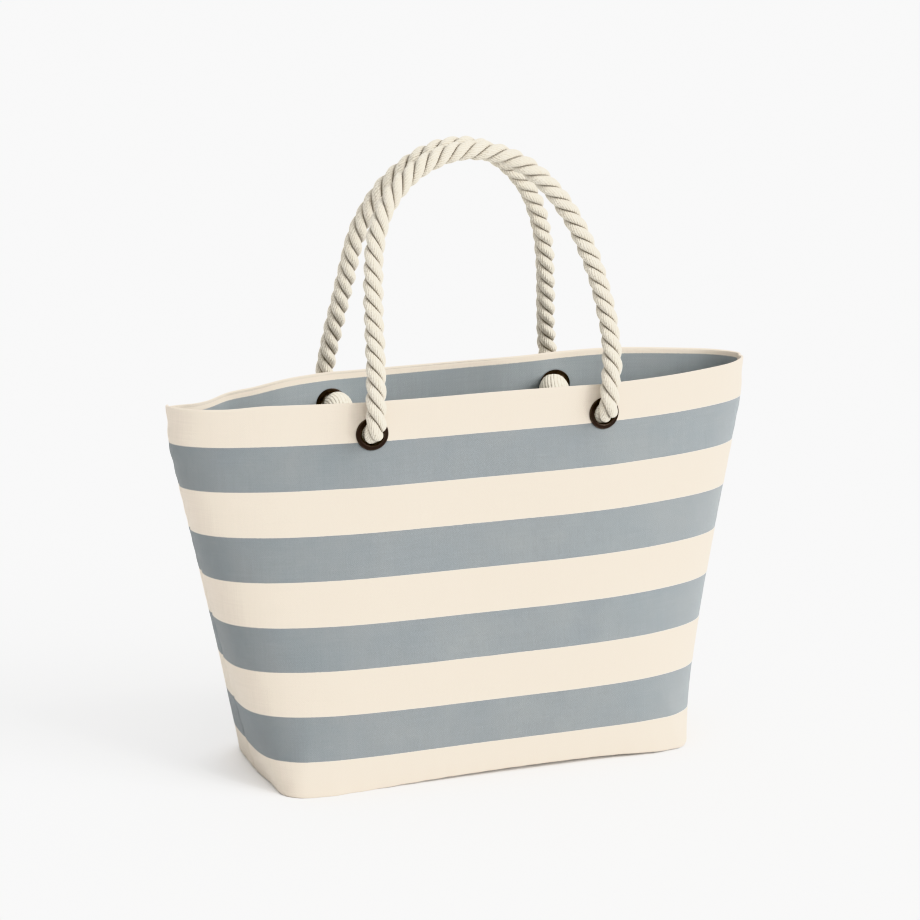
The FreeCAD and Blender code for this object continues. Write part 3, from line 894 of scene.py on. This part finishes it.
def side_seam(hand, sizes):
    """Line, across and up of the bound seam behind a side seam."""
    low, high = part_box(f"{'left' if hand == LEFT else 'right'}_seam_binding")
    heights = np.linspace(low.z, high.z, 60)
    inset = sizes.cloth + 1.7 * MM + sizes.tape_depth / 2
    line = np.array([settled(hand * (half_sizes(height / RIM, sizes)[0] - inset), 0.0, height)
                     for height in heights])
    across = np.tile((0.0, 1.0, 0.0), (len(line), 1))
    up = np.tile((float(hand), 0.0, 0.0), (len(line), 1))
    return line, across, up


def stitch_group():
    """Geometry nodes: short thick stitches set end to end along a line."""
    group = bpy.data.node_groups.new("stitch_row", "GeometryNodeTree")
    face = group.interface
    face.new_socket(name="Line", in_out="INPUT", socket_type="NodeSocketGeometry")
    for label, kind in (("Step", "Float"), ("Length", "Float"), ("Radius", "Float"),
                        ("Seed", "Int"), ("Thread", "Material")):
        face.new_socket(name=label, in_out="INPUT", socket_type=f"NodeSocket{kind}")
    face.new_socket(name="Stitches", in_out="OUTPUT", socket_type="NodeSocketGeometry")
    tree = Tree(group)
    entry = tree.add("NodeGroupInput").outputs
    curve = tree.add("GeometryNodeMeshToCurve", Mesh=entry["Line"])
    spaced = tree.add("GeometryNodeResampleCurve", {"mode": "LENGTH"}, Curve=curve,
                      Length=entry["Step"])
    ball = tree.add("GeometryNodeMeshUVSphere", Segments=8, Rings=5, Radius=1.0)
    half = tree.maths("MULTIPLY", entry["Length"], 0.5)
    scale = tree.add("ShaderNodeCombineXYZ", X=entry["Radius"], Y=entry["Radius"], Z=half)
    thread = tree.add("GeometryNodeTransform", Geometry=ball, Scale=scale)
    jitter = tree.add("FunctionNodeRandomValue", {"data_type": "FLOAT_VECTOR"}, Seed=entry["Seed"])
    jitter.inputs[0].default_value = (-0.07, -0.07, -0.07)
    jitter.inputs[1].default_value = (0.07, 0.07, 0.07)
    tangent = tree.add("GeometryNodeInputTangent")
    lean = tree.add("ShaderNodeVectorMath", {"operation": "ADD"}, in0=tangent, in1=jitter)
    turn = tree.add("FunctionNodeAlignRotationToVector", {"axis": "Z"}, Vector=lean)
    rows = tree.add("GeometryNodeInstanceOnPoints", Points=spaced, Instance=thread, Rotation=turn)
    real = tree.add("GeometryNodeRealizeInstances", Geometry=rows)
    smooth = tree.add("GeometryNodeSetShadeSmooth", Geometry=real)
    finished = tree.add("GeometryNodeSetMaterial", Geometry=smooth, Material=entry["Thread"])
    tree.add("NodeGroupOutput", Stitches=finished)
    return group


THREAD_RADIUS = 0.38 * MM


def stitch_row(name, line, closed, seed, finish, sizes):
    """A row of stitches along a line of points."""
    count = len(line)
    edges = [(k, (k + 1) % count) for k in range(count if closed else count - 1)]
    mesh = bpy.data.meshes.new(name)
    mesh.from_pydata([tuple(point) for point in line], edges, [])
    row = bpy.data.objects.new(name, mesh)
    bpy.context.scene.collection.objects.link(row)
    modifier = row.modifiers.new("stitches", "NODES")
    modifier.node_group = group_of("stitch_row", stitch_group)
    values = {"Step": sizes.stitch_step, "Length": sizes.stitch, "Radius": THREAD_RADIUS,
              "Seed": seed, "Thread": finish_of(finish)}
    for socket in modifier.node_group.interface.items_tree:
        if socket.name in values:
            modifier[socket.identifier] = values[socket.name]
    return plain_mesh(row)


# --- Rope ---

STRANDS = 3
LOBE_STEPS = 22          # points round one strand's share of the rope
ROPE_STEP = 1.2 * MM     # from ring to ring
STRAND_PLACE, STRAND_SIZE = 0.40, 0.60       # shares of the rope's radius
HALF_LOBE = math.pi / STRANDS
FIRST_TURN = {FRONT: 0.6, BACK: 1.9}         # of the strands, at a handle's left end


def route_line(name, points, resolution=24):
    """Points along a smooth curve with these control points."""
    curve = bpy.data.curves.new(name, "CURVE")
    curve.dimensions = "3D"
    curve.resolution_u = resolution
    spline = curve.splines.new("NURBS")
    spline.points.add(len(points) - 1)
    for index, point in enumerate(points):
        spline.points[index].co = (*point, 1.0)
    spline.order_u = 3
    spline.use_endpoint_u = True
    holder = bpy.data.objects.new(name, curve)
    bpy.context.scene.collection.objects.link(holder)
    bpy.context.view_layer.update()
    graph = bpy.context.evaluated_depsgraph_get()
    mesh = bpy.data.meshes.new_from_object(holder.evaluated_get(graph))
    line = np.array([vertex.co for vertex in mesh.vertices])
    bpy.data.objects.remove(holder)
    bpy.data.curves.remove(curve)
    bpy.data.meshes.remove(mesh)
    return line


def even_line(line, step):
    """The same line with points a step apart, and their places along it."""
    run = np.concatenate([[0.0], np.cumsum(np.linalg.norm(np.diff(line, axis=0), axis=1))])
    count = max(8, int(round(run[-1] / step)) + 1)
    places = np.linspace(0.0, run[-1], count)
    even = np.stack([np.interp(places, run, line[:, axis]) for axis in range(3)], axis=1)
    return even, places


def frames_along(line):
    """Two sideways directions at each point of a line, with no added twist."""
    tangents = np.gradient(line, axis=0)
    tangents /= np.linalg.norm(tangents, axis=1)[:, None]
    side = np.cross(tangents[0], (0.31, 0.87, 0.38))
    sides = []
    for tangent in tangents:
        side = side - tangent * np.dot(side, tangent)
        side /= np.linalg.norm(side)
        sides.append(side.copy())
    sides = np.array(sides)
    return sides, np.cross(tangents, sides)


def strand_section():
    """Angles round the rope, the surface's reach there (a share of its radius), the groove mask
    for painted shade.
    """
    step = np.linspace(-1.0, 1.0, LOBE_STEPS + 1)[:-1]
    lean = HALF_LOBE * (1.35 * step - 0.35 * step ** 3)
    aside = STRAND_PLACE * np.sin(lean)
    reach = STRAND_PLACE * np.cos(lean) + np.sqrt(STRAND_SIZE ** 2 - aside ** 2)
    gap = HALF_LOBE - np.abs(lean)
    reach = reach - 0.15 * np.exp(-(gap / math.radians(5.5)) ** 2)
    groove = np.exp(-gap / math.radians(7.5))
    angles = np.concatenate([lean + 2 * math.pi * strand / STRANDS for strand in range(STRANDS)])
    return angles, np.tile(reach, STRANDS), np.tile(groove, STRANDS)


def rope_mesh(name, line, radius, lay, start_turn, girth=None, smooth=None, rounded=False):
    """A laid rope as one closed surface; girth and smooth are shares at each place along it."""
    even, places = even_line(line, ROPE_STEP)
    sides, others = frames_along(even)
    angles, reach, groove = strand_section()
    rings, count = len(places), len(angles)
    girth = np.ones(rings) if girth is None else girth(places)
    flat = np.zeros(rings) if smooth is None else smooth(places)
    turn = start_turn - 2 * math.pi * places / lay
    strand = np.arange(count) // LOBE_STEPS
    swell = (1 + 0.022 * np.sin(places[:, None] * 171 + strand * 2.1)
             + 0.014 * np.sin(places[:, None] * 563 + strand * 4.0))
    size = radius * girth[:, None] * swell * (reach * (1 - flat[:, None]) + 0.92 * flat[:, None])
    if rounded:
        end_gap = np.minimum(places, places[-1] - places) / (3 * MM)
        size *= np.sqrt(np.clip(end_gap * (2 - np.minimum(end_gap, 1.0)), 0.03, 1.0))[:, None]
    angle = turn[:, None] + angles
    points = (even[:, None, :] + (size * np.cos(angle))[:, :, None] * sides[:, None, :]
              + (size * np.sin(angle))[:, :, None] * others[:, None, :])
    faces = grid_faces(rings, count, around=True)
    faces.append(tuple(reversed(range(count))))
    faces.append(tuple((rings - 1) * count + corner for corner in range(count)))
    rope = link_mesh(name, points.reshape(-1, 3), faces)
    turns = np.concatenate([angles, [angles[0] + 2 * math.pi]])
    across = (turn[:, None] + turns) / (2 * math.pi)
    corners = []
    for ring in range(rings - 1):
        for corner in range(count):
            corners += [(across[ring, corner], places[ring]),
                        (across[ring, corner + 1], places[ring]),
                        (across[ring + 1, corner + 1], places[ring + 1]),
                        (across[ring + 1, corner], places[ring + 1])]
    corners += [(k / count, 0.0) for k in range(2 * count)]
    set_corner_uv(rope, corners)
    # painted shade: nearness to a groove, which the rope finish darkens
    shade = rope.data.attributes.new("groove", "FLOAT", "POINT")
    shade.data.foreach_set("value", (groove * (1 - flat[:, None])).ravel())
    return rope, even, places[-1]


def handle_route(side):
    """The handle's route with its short runs through the two eyelets."""
    route = ROUTES[side]
    ends = []
    for x, y, z in (route[0], route[-1]):
        ends.append([(x, y - side * 18 * MM, z - 1 * MM), (x, y + side * 1.5 * MM, z + 2 * MM)])
    return [*ends[0], *route[1:-1], *reversed(ends[1])]


def make_handle(side, side_name, sizes):
    """One rope handle, from inside its left eyelet to inside its right eyelet."""
    line = route_line(f"{side_name}_route", handle_route(side))
    rope, even, length = rope_mesh(f"{side_name}_rope", line, sizes.rope_radius, sizes.rope_lay,
                                   start_turn=FIRST_TURN[side])
    paint(rope, "cotton_rope")
    handle = BODY_OF_HANDLE[side]
    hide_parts(handle)
    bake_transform(rope)
    return rope


KNOT_FACE = 57 * MM      # from the bag's middle to the inside of an eyelet
KNOT_MIDDLE = 24.5       # millimetres from that face to the coil's middle
KNOT_COIL = 14.5         # and the coil's radius
KNOT_TURNS, KNOT_STEPS = 1.6, 17
KNOT_LEAN = 4.5          # towards the bag's middle
KNOT_SHARE = 0.86        # the drawn rope is thinner than the handle's
DOME_PLACE, DOME_WIDTH, DOME_GIRTH = 12 * MM, 11 * MM, 0.95


def knot_line(side, eyelet):
    """Path of a stopper knot: in, straight down, up round itself, and a hanging end."""
    x, _, z = eyelet
    face = side * KNOT_FACE
    lean = -math.copysign(KNOT_LEAN, x)
    local = [(2.0, 0, 0), (6, 0.4 * lean, 0), (12, lean, -1), (16.5, lean, -8),
             (19, 0.6 * lean, -22), (KNOT_MIDDLE - 2, 0, -38), (KNOT_MIDDLE + 2, 2, -47)]
    for step in range(KNOT_STEPS + 1):
        share = step / KNOT_STEPS
        angle = 0.5 + KNOT_TURNS * 2 * math.pi * share
        local.append((KNOT_MIDDLE + KNOT_COIL * math.cos(angle), KNOT_COIL * math.sin(angle),
                      -44 + 20 * share))
    inward, across, height = local[-1]
    local += [(inward + 5, across - 4, height - 6), (inward + 6, across - 3, height - 18),
              (inward + 5, across - 1, height - 33)]
    return [(x + across * MM, face - side * inward * MM, z + height * MM)
            for inward, across, height in local]


def knot_girth(places):
    """The rope spreads into a dome just inside its eyelet, then draws in again."""
    return 1 + DOME_GIRTH * np.exp(-((places - DOME_PLACE) / DOME_WIDTH) ** 2)


def knot_smooth(places):
    """Over the dome the strands lie loose, side by side."""
    return np.exp(-((places - 14 * MM) / (19 * MM)) ** 4)


def make_knot(side, hand, name, sizes):
    """One stopper knot inside the bag."""
    eyelet = ROUTES[side][0 if hand == LEFT else -1]
    line = route_line(f"{name}_path", knot_line(side, eyelet))
    knot, _, _ = rope_mesh(f"{name}_rope", line, sizes.rope_radius * KNOT_SHARE,
                           sizes.rope_lay * 0.9, hand * 0.9, girth=knot_girth,
                           smooth=knot_smooth, rounded=True)
    stand_for(knot, "cotton_rope", name)
    return knot


# --- Eyelets ---


def lathe(name, profile, sides, matrix):
    """Turns a closed profile of (radius, along) points into a ring."""
    points = []
    for index in range(sides):
        angle = 2 * math.pi * index / sides
        for radius, along in profile:
            local = Vector((radius * math.cos(angle), radius * math.sin(angle), along))
            points.append(matrix @ local)
    faces = grid_faces(sides, len(profile), wrap=True, around=True)
    return turn_outward(link_mesh(name, points, faces))


def arc(centre, radius, start, end, steps):
    """Points of an arc, angles in degrees."""
    return [(centre[0] + radius * math.cos(math.radians(start + (end - start) * k / steps)),
             centre[1] + radius * math.sin(math.radians(start + (end - start) * k / steps)))
            for k in range(steps + 1)]


def eyelet_frame(node, side):
    """Frame in the middle of a washer, +Z out of the bag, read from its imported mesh."""
    points = np.array([vertex.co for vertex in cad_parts[node].data.vertices])
    middle = (points.min(0) + points.max(0)) / 2
    centred = points - points.mean(0)
    _, vectors = np.linalg.eigh(centred.T @ centred)
    normal = vectors[:, 0] * math.copysign(1, vectors[1, 0] * side)
    turn = Vector((0, 0, 1)).rotation_difference(Vector(normal)).to_matrix().to_4x4()
    return Matrix.Translation(Vector(middle)) @ turn


CLOTH_FACE = 3.0 * MM    # from a washer's middle to the outer face of the cloth
BEAD, LIP = 0.9 * MM, 1.3 * MM               # radii of the ring's rolled edges
BEAD_RISE = 0.75 * MM    # their middles above the cloth
BARREL_WALL = 0.85 * MM
WASHER_GAP = 0.95 * MM   # from the bore to the washer's inner edge
WASHER_HALF, WASHER_EDGE = 0.45 * MM, 0.5 * MM
LATHE_SIDES = 72


def ring_profile(bore, ring):
    """Domed outer ring with a rolled inner lip and a barrel."""
    face, wall = CLOTH_FACE, BARREL_WALL
    return [
        (ring, face + 0.1 * MM),
        *arc((ring - BEAD, face + BEAD_RISE), BEAD, -20, 110, 7),
        (ring - 2.1 * MM, face + 1.75 * MM),
        *arc((bore + LIP, face + BEAD_RISE), LIP, 75, 180, 8),
        (bore, face - 1 * MM), (bore, -1.2 * MM),
        (bore + 0.2 * MM, -1.5 * MM), (bore + 0.7 * MM, -1.5 * MM),
        (bore + wall, -1.2 * MM), (bore + wall, face - 0.1 * MM),
    ]


def washer_profile(bore, ring):
    """Plain ring behind the cloth."""
    inner, half = bore + WASHER_GAP, WASHER_HALF
    return [
        (inner, -0.5 * MM), (inner, half), (ring - 0.2 * MM, half),
        *arc((ring - WASHER_EDGE, -0.1 * MM), WASHER_EDGE, 20, -90, 5),
        (ring - 1.6 * MM, -0.85 * MM), (bore + 2.2 * MM, -0.9 * MM),
    ]


def make_eyelet(side, name, sizes):
    """An eyelet's outer ring, and the washer behind it."""
    place = eyelet_frame(f"{name}_washer", side)
    for piece, node, profile in (("ring", "eyelet", ring_profile),
                                 ("back_ring", "washer", washer_profile)):
        points = profile(sizes.eyelet_bore, sizes.eyelet_ring)
        metal = lathe(f"{name}_{piece}", points, LATHE_SIDES, place)
        stand_for(metal, "antique_metal", f"{name}_{node}")


# --- Operators ---


CAMERA_PLACE = (-0.8308, -2.3250, 0.9352)
CAMERA_AIM = Vector((0.3238, 0.9088, -0.2632))
CAMERA_LENS = 115.49
LIT_PLACE = Vector((0.0, 0.0, 0.22))         # the suns point at the middle of the bag
SUNS = (("overhead", (0.5, -0.4, 3.0), 1.6, 85), ("key", (1.0, -0.85, 0.9), 3.8, 42))
SKY = 0.75
FLOOR_HALF = 30.0


class BEACHBAG_OT_stage(bpy.types.Operator):
    """Adds the floor, the lights and the camera"""

    bl_idname = "beachbag.stage"
    bl_label = "Stage"

    def execute(self, context):
        scene = context.scene
        camera = bpy.data.cameras.new("camera")
        camera.sensor_width = 36.0
        camera.lens = CAMERA_LENS
        holder = bpy.data.objects.new("camera", camera)
        holder.location = CAMERA_PLACE
        holder.rotation_euler = CAMERA_AIM.to_track_quat("-Z", "Y").to_euler()
        scene.collection.objects.link(holder)
        scene.camera = holder
        corners = [(x * FLOOR_HALF, y * FLOOR_HALF, 0)
                   for x, y in ((-1, -1), (1, -1), (1, 1), (-1, 1))]
        floor = link_mesh("floor", corners, [(0, 1, 2, 3)], smooth=False)
        material, _, shader = new_material("pale_floor")
        shader.inputs["Base Color"].default_value = (0.92, 0.92, 0.92, 1.0)
        shader.inputs["Roughness"].default_value = 0.9
        floor.data.materials.append(material)
        for sun in SUNS:
            self.light(*sun)
        world = bpy.data.worlds.new("world")
        world.use_nodes = True
        sky = world.node_tree.nodes["Background"].inputs
        sky["Color"].default_value = (1.0, 1.0, 1.0, 1.0)
        sky["Strength"].default_value = SKY
        scene.world = world
        scene.view_settings.view_transform = "Khronos PBR Neutral"
        return {"FINISHED"}

    def light(self, name, place, strength, spread):
        """A soft sun; its spread is in degrees."""
        lamp = bpy.data.lights.new(name, "SUN")
        lamp.energy = strength
        lamp.angle = math.radians(spread)
        holder = bpy.data.objects.new(name, lamp)
        holder.location = place
        aim = LIT_PLACE - Vector(place)
        holder.rotation_euler = aim.to_track_quat("-Z", "Y").to_euler()
        bpy.context.scene.collection.objects.link(holder)


class Maker:
    """An operator that builds its pieces with the sizes in the panel."""

    def execute(self, context):
        self.build(context.scene.beachbag_sizes)
        return {"FINISHED"}


class BEACHBAG_OT_handles(Maker, bpy.types.Operator):
    """Makes the two rope handles"""

    bl_idname = "beachbag.handles"
    bl_label = "Rope handles"

    def build(self, sizes):
        for side, side_name in SIDES:
            make_handle(side, side_name, sizes)


class BEACHBAG_OT_knots(Maker, bpy.types.Operator):
    """Ties the stopper knots inside the bag"""

    bl_idname = "beachbag.knots"
    bl_label = "Stopper knots"

    def build(self, sizes):
        for side, side_name in SIDES:
            for hand, hand_name in HANDS:
                make_knot(side, hand, f"{side_name}_{hand_name}_knot", sizes)


def flat_cut(obj, width, length):
    """Sizes of a cloth piece's flat cut, its area half that of the two-faced mesh."""
    area = sum(face.area for face in obj.data.polygons) / 2
    return {"flat": (width, length), "area": min(area, width * length)}


class BEACHBAG_OT_canvas(Maker, bpy.types.Operator):
    """Makes the front and back canvas panels"""

    bl_idname = "beachbag.canvas"
    bl_label = "Canvas panels"

    def build(self, sizes):
        for side, side_name in SIDES:
            panel = turn_outward(panel_mesh(f"{side_name}_canvas", side, sizes))
            cut = flat_cut(panel, outline(1.0, 0.0, sizes, np.array([0.5]))[2], RIM + sizes.hem)
            pierce(panel, side, side_name)
            stand_for(panel, "striped_canvas", f"{side_name}_panel")


class BEACHBAG_OT_base(Maker, bpy.types.Operator):
    """Lays the doubled base cloth"""

    bl_idname = "beachbag.base"
    bl_label = "Base cloth"

    def build(self, sizes):
        base = base_mesh("base_cloth", sizes)
        stand_for(base, "base_canvas", "base_panel")


class BEACHBAG_OT_bindings(Maker, bpy.types.Operator):
    """Binds the seams inside the bag with tape"""

    bl_idname = "beachbag.bindings"
    bl_label = "Bound seams"

    def build(self, sizes):
        section = tape_section(sizes.tape_width, sizes.tape_depth)
        tapes = [("base_seam", base_seam(sizes), True)]
        for hand, hand_name in HANDS:
            tapes.append((f"{hand_name}_seam", side_seam(hand, sizes), False))
        for name, (line, across, up), closed in tapes:
            tape = sweep(f"{name}_tape", line, across, up, section, closed)
            stand_for(tape, "binding_tape", f"{name}_binding")


HEM_STITCH = 3 * MM      # above the hem's lower edge
TAPE_STITCH = 1.5 * MM   # from a tape's middle line
ON_TOP = 0.1 * MM        # how far a stitch's middle lies off the cloth


class BEACHBAG_OT_stitches(Maker, bpy.types.Operator):
    """Sews the hem and the bound seams"""

    bl_idname = "beachbag.stitches"
    bl_label = "Stitches"

    def build(self, sizes):
        rows = []
        columns = np.linspace(0.02, 0.98, 240)
        height = RIM - sizes.hem + HEM_STITCH
        for side, side_name in SIDES:
            line, _ = cloth_line(side, height, 2 * sizes.cloth + ON_TOP, columns, sizes)
            rows.append((f"{side_name}_hem_stitches", line, False, "tonal_thread",
                         "striped_canvas"))
        aside = sizes.tape_width / 2 + ON_TOP
        line, across, up = base_seam(sizes)
        line = line + up * TAPE_STITCH - across * aside
        rows.append(("base_seam_stitches", line, True, "pale_thread", "binding_tape"))
        for hand, hand_name in HANDS:
            for side, side_name in SIDES:
                line, across, up = side_seam(hand, sizes)
                line = line - up * TAPE_STITCH + across * side * aside
                rows.append((f"{hand_name}_seam_{side_name}_stitches", line, False,
                             "pale_thread", "binding_tape"))
        for seed, (name, line, closed, finish, slot) in enumerate(rows):
            row = stitch_row(name, line, closed, seed, finish, sizes)
            paint(row, slot, finish)
            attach(row, "bag")


class BEACHBAG_OT_eyelets(Maker, bpy.types.Operator):
    """Sets the metal eyelets"""

    bl_idname = "beachbag.eyelets"
    bl_label = "Eyelets"

    def build(self, sizes):
        for side, side_name in SIDES:
            for _, hand_name in HANDS:
                make_eyelet(side, f"{side_name}_{hand_name}", sizes)


class BEACHBAG_PT_panel(bpy.types.Panel):
    """Lists the bag's operators"""

    bl_idname = "BEACHBAG_PT_panel"
    bl_label = "Beach bag"
    bl_space_type = "VIEW_3D"
    bl_region_type = "UI"
    bl_category = "Beach bag"

    def draw(self, context):
        for operator in OPERATORS:
            self.layout.operator(operator.bl_idname)


OPERATORS = (
    BEACHBAG_OT_stage,
    BEACHBAG_OT_handles,
    BEACHBAG_OT_knots,
    BEACHBAG_OT_canvas,
    BEACHBAG_OT_base,
    BEACHBAG_OT_bindings,
    BEACHBAG_OT_stitches,
    BEACHBAG_OT_eyelets,
)
CLASSES = (BEACHBAG_PG_sizes, BEACHBAG_PG_colours, *OPERATORS, BEACHBAG_PT_panel)


def register():
    for item in CLASSES:
        bpy.utils.register_class(item)
    bpy.types.Scene.beachbag_sizes = bpy.props.PointerProperty(type=BEACHBAG_PG_sizes)
    bpy.types.Scene.beachbag_colours = bpy.props.PointerProperty(type=BEACHBAG_PG_colours)


def unregister():
    del bpy.types.Scene.beachbag_colours
    del bpy.types.Scene.beachbag_sizes
    for item in reversed(CLASSES):
        bpy.utils.unregister_class(item)


def main():
    register()
    for operator in OPERATORS:
        group, name = operator.bl_idname.split(".")
        getattr(getattr(bpy.ops, group), name)()


if __name__ == "__main__":
    main()
